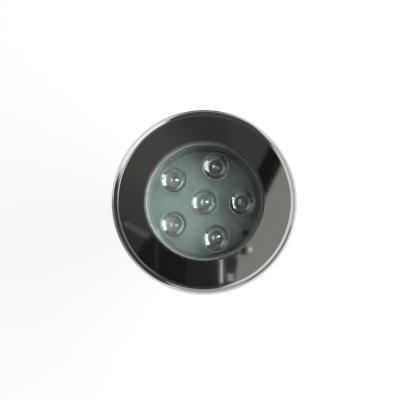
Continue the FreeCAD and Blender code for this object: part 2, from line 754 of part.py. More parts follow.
def make_pivot():
    """Bosses on the can, and the bolt and washers that clamp the bracket's arms to them."""
    bolt_hole = pivot_bolt_radius + thread_clearance
    boss = rod(boss_diameter / 2, can_radius, boss_end).cut(rod(bolt_hole, can_radius - 1, boss_end + 1))
    wall = rod(can_outer_radius + weld_gap, 0, face_height)
    save("pivot_bosses", both_sides(laid_on_pivot(boss).cut(wall)))
    bore = pivot_bolt_radius + pivot_running_clearance
    washer_radius = pivot_washer_diameter / 2
    friction_end = boss_end + friction_washer_thickness
    friction = ring(friction_washer_diameter / 2, bore, boss_end, friction_end)
    flat = ring(washer_radius, bore, flat_washer_start, spring_washer_start)
    spring = ring(washer_radius - spring_washer_setback, bore, spring_washer_start, bolt_head_start)
    split = Part.makeBox(washer_radius, spring_washer_split, spring_washer_thickness + 2,
                         FreeCAD.Vector(0, -spring_washer_split / 2, spring_washer_start - 1))
    bolt_tip = can_outer_radius + pivot_bolt_tip_gap
    bolt_end = bolt_head_start + pivot_bolt_head_height
    shank = rod(pivot_bolt_radius, bolt_tip, bolt_head_start)
    bolt = shank.fuse(hex_prism(pivot_bolt_head_across_flats, bolt_head_start, bolt_end)).removeSplitter()
    save("friction_washers", both_sides(laid_on_pivot(friction)))
    save("pivot_flat_washers", both_sides(laid_on_pivot(flat)))
    save("pivot_spring_washers", both_sides(laid_on_pivot(spring.cut(split))))
    save("pivot_bolts", both_sides(laid_on_pivot(bolt)))


def tangent_on_arm_end(y, z):
    """The point where a line from (y, z) touches the round end of an arm, on the +Y side."""
    reach = math.hypot(y, pivot_height - z)
    tilt = math.atan2(y, pivot_height - z)
    spread = math.acos(arm_end_radius / reach)
    angle = math.pi - tilt - spread
    return arm_end_radius * math.sin(angle), pivot_height + arm_end_radius * math.cos(angle)


def make_bracket():
    """A strip bent to a U. The arms taper to round ends, and the base has two holes for anchors."""
    half = bracket_width / 2
    top = pivot_height + arm_end_radius
    path = [(arm_outer, top, 0), (arm_outer, 0, bracket_bend_radius),
            (-arm_outer, 0, bracket_bend_radius), (-arm_outer, top, 0)]
    strip = rounded_face(sheet_outline(path, bracket_sheet)).extrude(FreeCAD.Vector(0, bracket_width, 0))
    strip.translate(FreeCAD.Vector(0, -half, 0))
    touch_y, touch_z = tangent_on_arm_end(half, bracket_shoulder_height)

    def point(y, z):
        return FreeCAD.Vector(-arm_outer - 1, y, z)

    edges = [Part.LineSegment(point(-half, -1), point(half, -1)).toShape(),
             Part.LineSegment(point(half, -1), point(half, bracket_shoulder_height)).toShape(),
             Part.LineSegment(point(half, bracket_shoulder_height), point(touch_y, touch_z)).toShape(),
             Part.Arc(point(touch_y, touch_z), point(0, top), point(-touch_y, touch_z)).toShape(),
             Part.LineSegment(point(-touch_y, touch_z), point(-half, bracket_shoulder_height)).toShape(),
             Part.LineSegment(point(-half, bracket_shoulder_height), point(-half, -1)).toShape()]
    side_view = Part.Face(Part.Wire(edges)).extrude(ALONG_X * (2 * arm_outer + 2))
    bracket = strip.common(side_view)
    pivot_hole = rod(pivot_bolt_radius + pivot_running_clearance, arm_inner - 1, arm_outer + 1)
    for hole in both_sides(laid_on_pivot(pivot_hole)):
        bracket = bracket.cut(hole)
    anchor_hole = rod(anchor_hole_diameter / 2, -1, bracket_sheet + 1, anchor_spacing / 2)
    for hole in both_sides(anchor_hole):
        bracket = bracket.cut(hole)
    return bracket


os.makedirs("parts", exist_ok=True)
save("bezel", make_bezel())
save("glass", make_glass())
save("glass_gasket", make_gasket())
save("can", make_can())
save("mouth_ring", make_mouth_ring())
make_bezel_fixings()
make_optics()
save("reflector_cone", make_reflector_cone())
make_carrier()
make_carrier_fixings()
make_driver()
make_driver_parts()
make_leads()
make_gland_body()
make_gland_cap()
make_pivot()
save("bracket", make_bracket())
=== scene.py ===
import math

import bmesh
import bpy
from mathutils import Matrix, Vector


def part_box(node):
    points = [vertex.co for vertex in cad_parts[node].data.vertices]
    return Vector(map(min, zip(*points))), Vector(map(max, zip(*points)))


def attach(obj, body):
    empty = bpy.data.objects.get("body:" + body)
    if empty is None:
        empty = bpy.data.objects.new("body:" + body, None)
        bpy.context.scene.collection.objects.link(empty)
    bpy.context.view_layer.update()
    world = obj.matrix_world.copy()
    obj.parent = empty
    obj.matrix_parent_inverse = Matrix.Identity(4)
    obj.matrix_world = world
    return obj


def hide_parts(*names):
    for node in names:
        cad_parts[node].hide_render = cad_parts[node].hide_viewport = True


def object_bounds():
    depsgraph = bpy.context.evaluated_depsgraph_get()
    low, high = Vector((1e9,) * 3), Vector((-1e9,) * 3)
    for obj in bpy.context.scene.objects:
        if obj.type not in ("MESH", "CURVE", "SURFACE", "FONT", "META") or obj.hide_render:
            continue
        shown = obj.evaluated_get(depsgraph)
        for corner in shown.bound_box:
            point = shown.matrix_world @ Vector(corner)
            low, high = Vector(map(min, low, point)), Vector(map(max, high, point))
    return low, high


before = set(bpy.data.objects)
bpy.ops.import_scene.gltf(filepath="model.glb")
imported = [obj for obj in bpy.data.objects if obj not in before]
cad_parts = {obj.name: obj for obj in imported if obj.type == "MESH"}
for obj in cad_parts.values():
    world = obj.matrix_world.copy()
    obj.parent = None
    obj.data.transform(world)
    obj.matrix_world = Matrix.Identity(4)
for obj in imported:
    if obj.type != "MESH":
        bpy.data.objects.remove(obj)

cad_low, cad_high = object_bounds()


# Studio floor and light.
# The lamp stands on a pale floor under a broad soft light from the right, a weak one from the left and an
# even white surround.
def node_maker(tree):
    """A maker of nodes for one tree. It links outputs to a node's first sockets in turn, or to sockets by name,
    and sets the other sockets and options."""
    def node(kind, *feeds, **settings):
        made = tree.nodes.new(kind)
        for key, value in settings.items():
            if isinstance(value, bpy.types.NodeSocket):
                tree.links.new(value, made.inputs[key])
            elif key in made.inputs:
                made.inputs[key].default_value = value
            else:
                setattr(made, key, value)
        for socket, output in zip(made.inputs, feeds):
            tree.links.new(output, socket)
        return made

    return node


def feed(shader, socket, output):
    """Links an output to a socket of a shader."""
    shader.id_data.links.new(output, shader.inputs[socket])


def new_material(name, sockets=None):
    """A fresh material, its shader with some sockets set, and a maker of further nodes."""
    material = bpy.data.materials.new(name)
    material.use_nodes = True
    shader = material.node_tree.nodes["Principled BSDF"]
    for socket, value in (sockets or {}).items():
        shader.inputs[socket].default_value = value
    return material, shader, node_maker(material.node_tree)


def seen_share(node):
    """1 for rays from the eye and for those that steel and glass send on, 0 for light that shades the scene."""
    path = node("ShaderNodeLightPath").outputs
    first = node("ShaderNodeMath", path["Is Camera Ray"], path["Is Glossy Ray"], operation="MAXIMUM")
    second = node("ShaderNodeMath", first.outputs[0], path["Is Transmission Ray"], operation="MAXIMUM")
    return second.outputs[0]


def from_axis(node):
    """The distance from the lamp's axis, in metres."""
    place = node("ShaderNodeTexCoord").outputs["Object"]
    flat = node("ShaderNodeVectorMath", place, operation="MULTIPLY")
    flat.inputs[1].default_value = (1, 1, 0)
    return node("ShaderNodeVectorMath", flat.outputs["Vector"], operation="LENGTH").outputs["Value"]


def spread(node, pattern, low, high, start=0.3, end=0.7):
    """A pattern's values from start to end, spread over the range from low to high."""
    limits = {"From Min": start, "From Max": end, "To Min": low, "To Max": high}
    return node("ShaderNodeMapRange", pattern, **limits).outputs["Result"]


def mix_shaders(node, share, first, second):
    """Shows two shaders mixed, with the given share of the second."""
    mix = node("ShaderNodeMixShader", share, first, second)
    feed(mix.id_data.nodes["Material Output"], "Surface", mix.outputs["Shader"])


floor_radius = 6.0
near_reach, far_reach, near_glow, far_glow = 0.2, 0.9, 0.88, 1.0
bpy.ops.object.select_all(action="DESELECT")
bpy.ops.mesh.primitive_circle_add(vertices=96, radius=floor_radius, fill_type="NGON", location=(0, 0, 0))
floor = bpy.context.object
floor.name = "floor"
floor_paint, shader, node = new_material(
    "floor_paint", {"Base Color": (0.95, 0.95, 0.95, 1), "Roughness": 0.9, "Specular IOR Level": 0.0})
glow = node("ShaderNodeEmission", Strength=1.0)
whiter = spread(node, from_axis(node), near_glow, far_glow, near_reach, far_reach)
share = node("ShaderNodeMath", seen_share(node), whiter, operation="MULTIPLY")
mix_shaders(node, share.outputs[0], shader.outputs["BSDF"], glow.outputs["Emission"])
floor.data.materials.append(floor_paint)

shading_level, seen_level = 0.20, 1.0
world = bpy.data.worlds.new("surround")
bpy.context.scene.world = world
world.use_nodes = True
node = node_maker(world.node_tree)
sky = world.node_tree.nodes["Background"]
sky.inputs["Color"].default_value = (1, 1, 1, 1)
feed(sky, "Strength", spread(node, seen_share(node), shading_level, seen_level, 0.0, 1.0))


def soft_light(name, place, width, height, energy):
    """A broad panel of light, aimed at the middle of the lamp, that its polished steel does not show."""
    bpy.ops.object.light_add(type="AREA", location=place)
    light = bpy.context.object
    light.name = name
    light.data.shape = "RECTANGLE"
    light.data.size = width
    light.data.size_y = height
    light.data.energy = energy
    light.visible_glossy = False
    aim = (light.location - cad_high.lerp(cad_low, 0.5)).to_track_quat("Z", "Y")
    light.rotation_euler = aim.to_euler()


soft_light("key_light", (1.12, 0.18, 0.59), 1.4, 0.68, 42.0)
soft_light("fill_light", (-0.95, 0.10, 0.75), 0.7, 0.7, 2.0)

# Reflector cards.
# Lit panels hung over the lamp and stood round it, which only its polished steel and glass can see: a dark
# ceiling, black and grey corners, a warm grey panel on the right, thin strips, small spots and side walls.
crisp, faded = 0.02, 0.12


def add_card(name, place, turn, width, height, tone, soft):
    """An evenly lit panel that fades out over a share of its size at the edges, hidden from the eye and from
    the light that shades the scene."""
    bpy.ops.object.select_all(action="DESELECT")
    bpy.ops.mesh.primitive_plane_add(size=1, location=place, rotation=turn)
    card = bpy.context.object
    card.name = name
    card.scale = (width * (1 + soft), height * (1 + soft), 1)
    paint, _, node = new_material(name + "_paint")
    spot = node("ShaderNodeTexCoord").outputs["Object"]
    size = node("ShaderNodeVectorMath", spot, operation="ABSOLUTE")
    split = node("ShaderNodeSeparateXYZ", size.outputs["Vector"])
    edge = node("ShaderNodeMath", split.outputs["X"], split.outputs["Y"], operation="MAXIMUM")
    fade = spread(node, edge.outputs[0], 0.0, 1.0, 0.5 - soft, 0.5)
    glow = node("ShaderNodeEmission", Color=(*tone, 1))
    clear = node("ShaderNodeBsdfTransparent")
    mix_shaders(node, fade, glow.outputs["Emission"], clear.outputs["BSDF"])
    card.data.materials.append(paint)
    card.visible_camera = False
    card.visible_diffuse = False
    card.visible_shadow = False
    return card


def hang_card(name, x, y, z, width, height, turn, tone, soft=crisp):
    """A level panel, turned about the upright in degrees."""
    add_card(name, (x, y, z), (0, 0, math.radians(turn)), width, height, tone, soft)


def stand_card(name, round_angle, rise, width, height, tone):
    """A panel a metre from the lamp, at an angle round it and a rise over its face in degrees, facing it."""
    turn, tilt = math.radians(round_angle), math.radians(rise)
    way = Vector((math.cos(turn) * math.cos(tilt), math.sin(turn) * math.cos(tilt), math.sin(tilt)))
    facing = way.to_track_quat("Z", "Y").to_euler()
    return add_card(name, way + Vector((0, 0, face_z)), facing, width, height, tone, faded)


face_z = cad_high.z
card_z = face_z + 0.90
floor_z = 0.002
hang_card("ceiling_dark", 0.006, 0.065, card_z + 0.03, 0.41, 0.40, 0, (0.060, 0.061, 0.056))
hang_card("ceiling_top", -0.024, 0.205, card_z + 0.02, 0.17, 0.11, 0, (0.048, 0.049, 0.046), faded)
hang_card("ceiling_left", -0.098, 0.166, card_z + 0.015, 0.15, 0.11, 45, (0.084, 0.085, 0.079), 0.3)
hang_card("ceiling_black", 0.013, -0.092, card_z + 0.01, 0.083, 0.11, 0, (0.026, 0.026, 0.024))
hang_card("corner_black", -0.090, -0.053, card_z + 0.012, 0.20, 0.085, -33, (0.015, 0.015, 0.014))
hang_card("corner_grey", -0.1505, 0.0036, card_z + 0.008, 0.080, 0.050, -30, (0.041, 0.041, 0.038), 0.05)
hang_card("corner_streak", -0.1276, 0.0135, card_z, 0.058, 0.011, -31, (0.120, 0.118, 0.115), faded)
hang_card("faint_strip", -0.0866, -0.042, card_z - 0.01, 0.0045, 0.058, 0, (0.048, 0.048, 0.045), faded)
hang_card("side_grey", 0.172, -0.020, card_z, 0.16, 0.36, -26.3, (0.31, 0.295, 0.275))
hang_card("side_black", 0.139, 0.142, card_z - 0.01, 0.036, 0.115, -26.3, (0.010, 0.010, 0.009))
hang_card("corner_dark", 0.055, -0.072, card_z - 0.005, 0.030, 0.060, -9, (0.036, 0.036, 0.033))
hang_card("thin_strip", 0.0414, -0.063, card_z - 0.01, 0.0037, 0.058, 0, (1.10, 1.075, 1.04))
hang_card("dark_spot", 0.0865, -0.0285, card_z - 0.012, 0.013, 0.017, -15, (0.012, 0.012, 0.011))
hang_card("light_spot", 0.098, -0.0262, card_z - 0.012, 0.007, 0.007, 0, (1.10, 1.07, 1.03))
hang_card("grey_spot", 0.0592, -0.0815, card_z - 0.012, 0.011, 0.014, 0, (0.48, 0.445, 0.44))
stand_card("left_wall", 203, 36, 1.92, 1.50, (0.065, 0.065, 0.062))
stand_card("back_wall", 82, 38, 1.08, 1.60, (0.08, 0.08, 0.075))
right_walls = [stand_card("right_wall", 14, 22, 1.20, 0.75, (0.62, 0.625, 0.62)),
               stand_card("right_top", 345, 62, 1.60, 0.40, (0.96, 0.965, 0.96)),
               stand_card("low_wall", 323, 20, 0.98, 0.75, (0.27, 0.27, 0.265))]
for card in right_walls:
    card.visible_transmission = False
hang_card("left_slope", -0.35, -0.135, card_z + 0.05, 0.32, 0.43, 0, (0.26, 0.26, 0.255), faded)
hang_card("front_slope", -0.07, -0.44, card_z + 0.06, 0.38, 0.62, 0, (0.06, 0.06, 0.057), faded)
hang_card("floor_left", -0.61, -0.14, floor_z, 0.78, 0.36, 0, (0.05, 0.05, 0.048), faded)
hang_card("floor_back", 0.000, 0.60, floor_z, 0.24, 0.80, 0, (0.05, 0.05, 0.048), faded)
stand_card("front_wall", 276, 30, 0.90, 1.10, (0.52, 0.52, 0.51))
stand_card("bright_wall", 134, 30, 0.66, 0.90, (1.35, 1.35, 1.35))

# Camera.
# It looks down on the lamp's face from a little below and left of its axis.
camera_distance = 0.60
camera_left, camera_down = math.radians(0.5), math.radians(4.5)
bpy.ops.object.camera_add(location=(-camera_distance * math.tan(camera_left),
                                    -camera_distance * math.tan(camera_down), face_z + camera_distance),
                          rotation=(camera_down, -camera_left, 0))
camera = bpy.context.object
camera.name = "camera"
camera.data.sensor_width = 36.0
camera.data.lens = 67.66
camera.data.shift_x = -0.0111
camera.data.shift_y = 0.0023
bpy.context.scene.camera = camera
bpy.context.scene.view_settings.view_transform = "Standard"

# Can.
# A cup deep-drawn from 1.5 mm stainless sheet and trimmed in a lathe, which leaves fine marks round it.
# The gland sits in the hole in its floor, and the mouth ring is welded to its edge.
MM = 0.001


def edges_of(name):
    """Lowest and highest corner of a CAD node in millimetres."""
    low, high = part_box(name)
    return low / MM, high / MM


def draw_profile(name, points):
    """A row of edges in the XZ plane, drawn from point to point in millimetres. Leaves edit mode on."""
    bpy.ops.object.select_all(action="DESELECT")
    bpy.ops.mesh.primitive_plane_add(size=MM, location=(points[0][0] * MM, 0, points[0][1] * MM))
    piece = bpy.context.object
    piece.name = name
    bpy.ops.object.transform_apply(location=True, rotation=False, scale=False)
    bpy.ops.object.mode_set(mode="EDIT")
    bpy.ops.mesh.select_all(action="SELECT")
    bpy.ops.mesh.merge(type="CENTER")
    for before, after in zip(points, points[1:]):
        step = ((after[0] - before[0]) * MM, 0, (after[1] - before[1]) * MM)
        bpy.ops.mesh.extrude_region_move(TRANSFORM_OT_translate={"value": step})
    bpy.ops.mesh.select_all(action="SELECT")
    bpy.ops.mesh.remove_doubles(threshold=1e-7)
    return piece


def pick_points(piece, wanted):
    """Selects the points whose place in millimetres passes a test, and nothing else. For edit mode."""
    bpy.ops.mesh.select_mode(type="VERT")
    bpy.ops.mesh.select_all(action="DESELECT")
    drawing = bmesh.from_edit_mesh(piece.data)
    for point in drawing.verts:
        point.select_set(wanted(point.co / MM))
    drawing.select_flush(True)
    bmesh.update_edit_mesh(piece.data)


def turned(name, points, steps=128, ring=True):
    """A piece turned about Z from (radius, height, corner radius) points. A ring's outline is closed."""
    same_place, cuts_per_mm, fewest_cuts, most_cuts = 1e-3, 6, 2, 16
    outline = [(x, z) for x, z, _ in points]
    piece = draw_profile(name, outline + outline[:1] if ring else outline)
    for x, z, radius in points:
        if radius:
            pick_points(piece, lambda at: math.hypot(at.x - x, at.z - z) < same_place)
            segments = max(fewest_cuts, min(most_cuts, round(radius * cuts_per_mm)))
            bpy.ops.mesh.bevel(offset=radius * MM, segments=segments, affect="VERTICES")
    bpy.ops.mesh.select_all(action="SELECT")
    bpy.ops.mesh.spin(steps=steps, angle=math.tau, center=(0, 0, 0), axis=(0, 0, 1))
    bpy.ops.mesh.select_all(action="SELECT")
    bpy.ops.mesh.remove_doubles(threshold=1e-6)
    bpy.ops.mesh.normals_make_consistent(inside=False)
    bpy.ops.object.mode_set(mode="OBJECT")
    return piece


def finish_piece(piece, material, nodes=(), body="lamp", angle=35):
    """Smooths a piece, gives it its material, ties it to its body and hides the CAD nodes it stands for."""
    bpy.ops.object.select_all(action="DESELECT")
    piece.select_set(True)
    bpy.context.view_layer.objects.active = piece
    bpy.ops.object.shade_smooth_by_angle(angle=math.radians(angle))
    piece.data.materials.clear()
    piece.data.materials.append(material)
    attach(piece, body)
    if nodes:
        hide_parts(*nodes)


def lathe_marks(node, scale, detail=3.0):
    """Fine rings round the lamp's axis, uneven from one to the next."""
    place = node("ShaderNodeTexCoord").outputs["Object"]
    height = node("ShaderNodeSeparateXYZ", place).outputs["Z"]
    across = node("ShaderNodeCombineXYZ", X=from_axis(node), Z=height)
    return node("ShaderNodeTexNoise", across.outputs["Vector"], Scale=scale, Detail=detail).outputs["Fac"]


def two_tones(node, shader, pattern, dark, light, start=0.35, end=0.65):
    """Base colour that runs between two tones."""
    ramp = node("ShaderNodeValToRGB", pattern)
    first, last = ramp.color_ramp.elements
    first.position, last.position = start, end
    first.color, last.color = (*dark, 1), (*light, 1)
    feed(shader, "Base Color", ramp.outputs["Color"])


def relief(node, shader, pattern, depth):
    """Fine surface relief, its depth in millimetres."""
    bump = node("ShaderNodeBump", Height=pattern, Distance=depth * MM, Strength=1.0)
    feed(shader, "Normal", bump.outputs["Normal"])


def patterned(name, sockets, pattern, dark, light, rough, depth):
    """A material whose tone, gloss and relief follow one pattern, given as a maker of its nodes."""
    material, shader, node = new_material(name, sockets)
    marks = pattern(node)
    two_tones(node, shader, marks, dark, light)
    feed(shader, "Roughness", spread(node, marks, *rough))
    relief(node, shader, marks, depth)
    return material


def metal(name, dark, light, rough, pattern, depth):
    """A metal with the marks of how it was worked."""
    return patterned(name, {"Metallic": 1.0}, pattern, dark, light, rough, depth)


can_low, can_high = edges_of("can")
can_sheet, can_corner, sheet_ease, gland_hole = 1.5, 14.0, 0.3, 8.15
can_radius = can_high.x
can_inside, can_floor = can_radius - can_sheet, can_low.z + can_sheet
can = turned("can_drawn", [(gland_hole, can_floor, 0), (can_inside, can_floor, can_corner - can_sheet),
                           (can_inside, can_high.z, sheet_ease), (can_radius, can_high.z, sheet_ease),
                           (can_radius, can_low.z, can_corner), (gland_hole, can_low.z, 0)], steps=192)
lathe_steel = metal("lathe_steel", (0.52, 0.52, 0.51), (0.64, 0.64, 0.63), (0.26, 0.40),
                    lambda node: lathe_marks(node, 2200.0), 0.012)
finish_piece(can, lathe_steel, ["can"])

# Mouth ring.
# A pressed stainless ring: a flat seat for the glass gasket, a step up round it and an outer flange with six
# stud holes. It stands on the can's edge.
ring_low, ring_high = edges_of("mouth_ring")
recess_gap, tight_bend, wide_bend = 0.2, 1.0, 2.5
seat_top, flange_under = can_high.z + can_sheet, ring_high.z - can_sheet
recess_radius = edges_of("glass_gasket")[1].x + recess_gap
step_radius = recess_radius + can_sheet
mouth = turned("mouth_ring_pressed",
               [(can_inside, seat_top, sheet_ease), (recess_radius, seat_top, tight_bend),
                (recess_radius, ring_high.z, wide_bend), (ring_high.x, ring_high.z, sheet_ease),
                (ring_high.x, flange_under, sheet_ease), (step_radius, flange_under, tight_bend),
                (step_radius, ring_low.z, wide_bend), (can_inside, ring_low.z, sheet_ease)], steps=192)
weld_gap, overcut = 0.002, 1.0


def apply_modifier(piece, kind, **settings):
    """Adds a modifier, sets it and applies it."""
    bpy.context.view_layer.objects.active = piece
    modifier = piece.modifiers.new(kind.lower(), kind)
    for key, value in settings.items():
        setattr(modifier, key, value)
    bpy.ops.object.modifier_apply(modifier=modifier.name)


def cut_away(piece, cutter, operation="DIFFERENCE"):
    """Cuts one shape by another, removes the cutter and joins points that fall together."""
    apply_modifier(piece, "BOOLEAN", operation=operation, solver="EXACT", object=cutter)
    apply_modifier(piece, "WELD", merge_threshold=weld_gap * MM)
    bpy.data.objects.remove(cutter)


def drill(piece, radius, low, high, x=0, y=0, sides=40):
    """An upright round hole, all in millimetres."""
    bpy.ops.object.select_all(action="DESELECT")
    bpy.ops.mesh.primitive_cylinder_add(vertices=sides, radius=radius * MM, depth=(high - low) * MM,
                                        location=(x * MM, y * MM, (low + high) / 2 * MM))
    cut_away(piece, bpy.context.object)


def on_circle(radius, angle):
    """A place on a circle round the lamp's axis, in millimetres and degrees."""
    return radius * math.cos(math.radians(angle)), radius * math.sin(math.radians(angle))


stud_radius, stud_hole = 2.0, 2.3
stud_angles = [30 + 60 * i for i in range(6)]
stud_circle = edges_of("bezel_studs")[1].y - stud_radius
for stud_angle in stud_angles:
    drill(mouth, stud_hole, ring_low.z, ring_high.z + overcut, *on_circle(stud_circle, stud_angle))
finish_piece(mouth, lathe_steel, ["mouth_ring"], angle=30)


# Mouth weld.
# The bead that joins the can to the mouth ring, laid in short overlapping ripples and tinted by the heat.
def weld_bead(name, major, minor, ripples):
    """A ring of weld ripples about Z at the origin, radii in millimetres."""
    swell_range, wander, wander_waves = 0.22, 0.08, 23
    bpy.ops.object.select_all(action="DESELECT")
    bpy.ops.mesh.primitive_torus_add(major_segments=ripples * 4, minor_segments=10,
                                     major_radius=major * MM, minor_radius=minor * MM)
    bead = bpy.context.object
    bead.name = name
    for point in bead.data.vertices:
        angle = math.atan2(point.co.y, point.co.x)
        along = (angle * ripples / math.tau + wander * math.sin(angle * wander_waves)) % 1.0
        swell = 1.0 + swell_range * (1 - (2 * along - 1) ** 2) - swell_range / 2
        spine = Vector((math.cos(angle), math.sin(angle), 0)) * major * MM
        point.co = spine + (point.co - spine) * swell
    return bead


def cloud(node, scale, detail=4.0, stretch=(1, 1, 1)):
    """Cloudy pattern fixed to the piece. A small stretch value draws it out along that axis."""
    place = node("ShaderNodeTexCoord").outputs["Object"]
    mapping = node("ShaderNodeMapping", place, Scale=stretch)
    return node("ShaderNodeTexNoise", mapping.outputs["Vector"], Scale=scale, Detail=detail).outputs["Fac"]


bead_offset = 0.3
mouth_weld = weld_bead("mouth_weld", can_radius + bead_offset, minor=1.1, ripples=190)
mouth_weld.data.transform(Matrix.Translation((0, 0, (ring_low.z - bead_offset) * MM)))
weld_metal = metal("weld_metal", (0.36, 0.33, 0.30), (0.58, 0.56, 0.55), (0.24, 0.45),
                   lambda node: cloud(node, 420.0), 0.05)
finish_piece(mouth_weld, weld_metal, angle=60)

# Pivot bosses.
# Two turned stainless bosses, threaded for the tilt bolts and welded to the can's sides.
boss_low, boss_high = edges_of("pivot_bosses")
pivot_z, boss_end = (boss_low.z + boss_high.z) / 2, boss_high.x
boss_radius, boss_bore, boss_sink = 8.0, 3.1, 1.2


def lay_on_pivot(piece, side):
    """Turns a piece from the Z axis on to the tilt axis, towards +X or -X."""
    lift = Matrix.Translation((0, 0, pivot_z * MM))
    piece.data.transform(lift @ Matrix.Rotation(side * math.pi / 2, 4, "Y"))


def copy_of(piece, name, place=None):
    """A copy with its own mesh, moved by a matrix where one is given."""
    copy = piece.copy()
    copy.data = piece.data.copy()
    copy.name = name
    bpy.context.scene.collection.objects.link(copy)
    if place is not None:
        copy.data.transform(place)
    return copy


def join_pieces(pieces, name):
    """Makes several pieces one object."""
    bpy.ops.object.select_all(action="DESELECT")
    for piece in pieces:
        piece.select_set(True)
    bpy.context.view_layer.objects.active = pieces[0]
    bpy.ops.object.join()
    pieces[0].name = name
    return pieces[0]


def on_both_sides(piece, name):
    """Lays a piece on the tilt axis, once on each side of the lamp."""
    twin = copy_of(piece, name + "_twin")
    lay_on_pivot(piece, 1)
    lay_on_pivot(twin, -1)
    return join_pieces([piece, twin], name)


boss_start = can_radius - boss_sink
boss = turned("boss", [(boss_bore, boss_start, 0), (boss_radius, boss_start, 0), (boss_radius, boss_end, 0.6),
                       (boss_bore, boss_end, 0.5)], steps=64)
turned_steel = metal("turned_steel", (0.50, 0.50, 0.49), (0.66, 0.66, 0.65), (0.20, 0.36),
                     lambda node: cloud(node, 260.0, 3.0, (9.0, 0.6, 0.6)), 0.01)
finish_piece(on_both_sides(boss, "pivot_bosses_turned"), turned_steel, ["pivot_bosses"])

bead_toe, bead_lift = 0.35, 0.25
boss_weld = weld_bead("boss_weld", boss_radius + bead_toe, minor=1.0, ripples=34)
for point in boss_weld.data.vertices:
    point.co.z += math.sqrt((can_radius + bead_lift) ** 2 - (point.co.y / MM) ** 2) * MM
finish_piece(on_both_sides(boss_weld, "boss_welds"), weld_metal, angle=60)

# Cable gland.
# An M16 gland of nickel-plated brass: a threaded body with a hexagon, a flat rubber seal against the can, a
# locknut inside, and a domed cap that squeezes a rubber sleeve.
hexagon_slack = 0.01


def corner_of(across_flats):
    """The distance from a hexagon's middle to its corners."""
    return across_flats / math.sqrt(3)


def hexagon(name, across_flats, low, high, envelope):
    """A hexagonal bar trimmed by an outline turned about its axis."""
    bpy.ops.object.select_all(action="DESELECT")
    bpy.ops.mesh.primitive_cylinder_add(vertices=6, radius=corner_of(across_flats) * MM,
                                        depth=(high - low) * MM, location=(0, 0, (low + high) / 2 * MM))
    bar = bpy.context.object
    bar.name = name
    bpy.ops.object.transform_apply(location=True, rotation=True, scale=False)
    bar.data.transform(Matrix.Rotation(math.pi / 6, 4, "Z"))
    cut_away(bar, turned(name + "_trim", envelope, steps=96, ring=False), "INTERSECT")
    return bar


def eased_hexagon(name, across_flats, low, high):
    """A hexagonal bar with both ends eased as on a nut."""
    ease_slope = 0.6
    flat, corner = across_flats / 2, corner_of(across_flats)
    ease = (corner - flat) * ease_slope
    clear = corner + hexagon_slack
    return hexagon(name, across_flats, low, high,
                   [(0, low, 0), (flat, low, 0), (clear, low + ease, 0), (clear, high - ease, 0),
                    (flat, high, 0), (0, high, 0)])


def thread_outline(root, crest, low, high, pitch):
    """Points up a threaded bar: root and crest in turn, with the ends on the root."""
    crest_start, crest_end = 0.35, 0.55
    count = max(1, int((high - low) / pitch))
    step = (high - low) / count
    points = []
    for i in range(count):
        foot = low + (high - low) * i / count
        points += [(root, foot, 0), (crest, foot + crest_start * step, 0), (crest, foot + crest_end * step, 0)]
    return points + [(root, high, 0)]


def washer(name, bore, outer, low, high, ease, steps, bore_ease=0):
    """A flat ring about Z with eased edges."""
    return turned(name, [(bore, low, bore_ease), (outer, low, ease), (outer, high, ease),
                         (bore, high, bore_ease)], steps=steps)


def dull(name, dark, light, rough, scale, depth, sheen=0.5, sockets=None):
    """Plastic, rubber or enamel: two close tones, a grain that changes its gloss, and a fine relief."""
    return patterned(name, {"Specular IOR Level": sheen, **(sockets or {})},
                     lambda node: cloud(node, scale), dark, light, rough, depth)


cap_low, cap_high = edges_of("gland_cap")
body_low, body_high = edges_of("gland_body")
seal_low, seal_high = edges_of("gland_seal")
nut_low, nut_high = edges_of("gland_locknut")
gland_flats, collar_low, collar_high, collar_bore = 22.0, 41.2, 46.2, 7.5
gland_root, gland_crest, gland_pitch, gland_tapping = 7.1, 8.0, 1.5, 8.1
body_bore, socket_radius, socket_floor = 5.2, 6.4, seal_high.z + 0.1
gland_body = turned("gland_body_threaded",
                    [(body_bore, body_high.z, 0), (body_bore, socket_floor, 0),
                     (socket_radius, socket_floor, 0), (socket_radius, body_low.z, 0)]
                    + thread_outline(gland_root, gland_crest, body_low.z, body_high.z, gland_pitch), steps=80)
collar = eased_hexagon("gland_collar", gland_flats, collar_low, collar_high)
drill(collar, collar_bore, collar_low - overcut, collar_high + overcut, sides=80)
gland_body = join_pieces([gland_body, collar], "gland_body_threaded")
plated_brass = metal("plated_brass", (0.52, 0.50, 0.45), (0.68, 0.66, 0.61), (0.18, 0.34),
                     lambda node: cloud(node, 300.0, 5.0), 0.01)
finish_piece(gland_body, plated_brass, ["gland_body"], angle=28)

locknut = eased_hexagon("gland_locknut_eased", gland_flats, nut_low.z, nut_high.z)
drill(locknut, gland_tapping, nut_low.z - overcut, nut_high.z + overcut, sides=80)
finish_piece(locknut, plated_brass, ["gland_locknut"], angle=28)

cap_flat, cap_corner, cap_ease = gland_flats / 2, corner_of(gland_flats) + hexagon_slack, 1.0
dome_top, dome_round = cap_low.z + 3.5, 3.2
cap_flare, cap_mouth, flare_depth = 6.2, 5.0, 0.4
cap = hexagon("gland_cap_domed", gland_flats, cap_low.z - overcut, cap_high.z,
              [(0, cap_low.z, 0), (cap_flat, cap_low.z, dome_round), (cap_flat, dome_top, 0),
               (cap_corner, dome_top + cap_ease, 0), (cap_corner, cap_high.z - cap_ease, 0),
               (cap_flat, cap_high.z, 0), (0, cap_high.z, 0)])
cap_bore = turned("cap_bore",
                  [(0, cap_low.z - overcut, 0), (cap_flare, cap_low.z - overcut, 0),
                   (cap_mouth, cap_low.z + flare_depth, 0), (cap_mouth, seal_low.z, 0),
                   (gland_tapping, seal_low.z, 0), (gland_tapping, cap_high.z + overcut, 0),
                   (0, cap_high.z + overcut, 0)], steps=80, ring=False)
cut_away(cap, cap_bore)
finish_piece(cap, plated_brass, ["gland_cap"], angle=28)

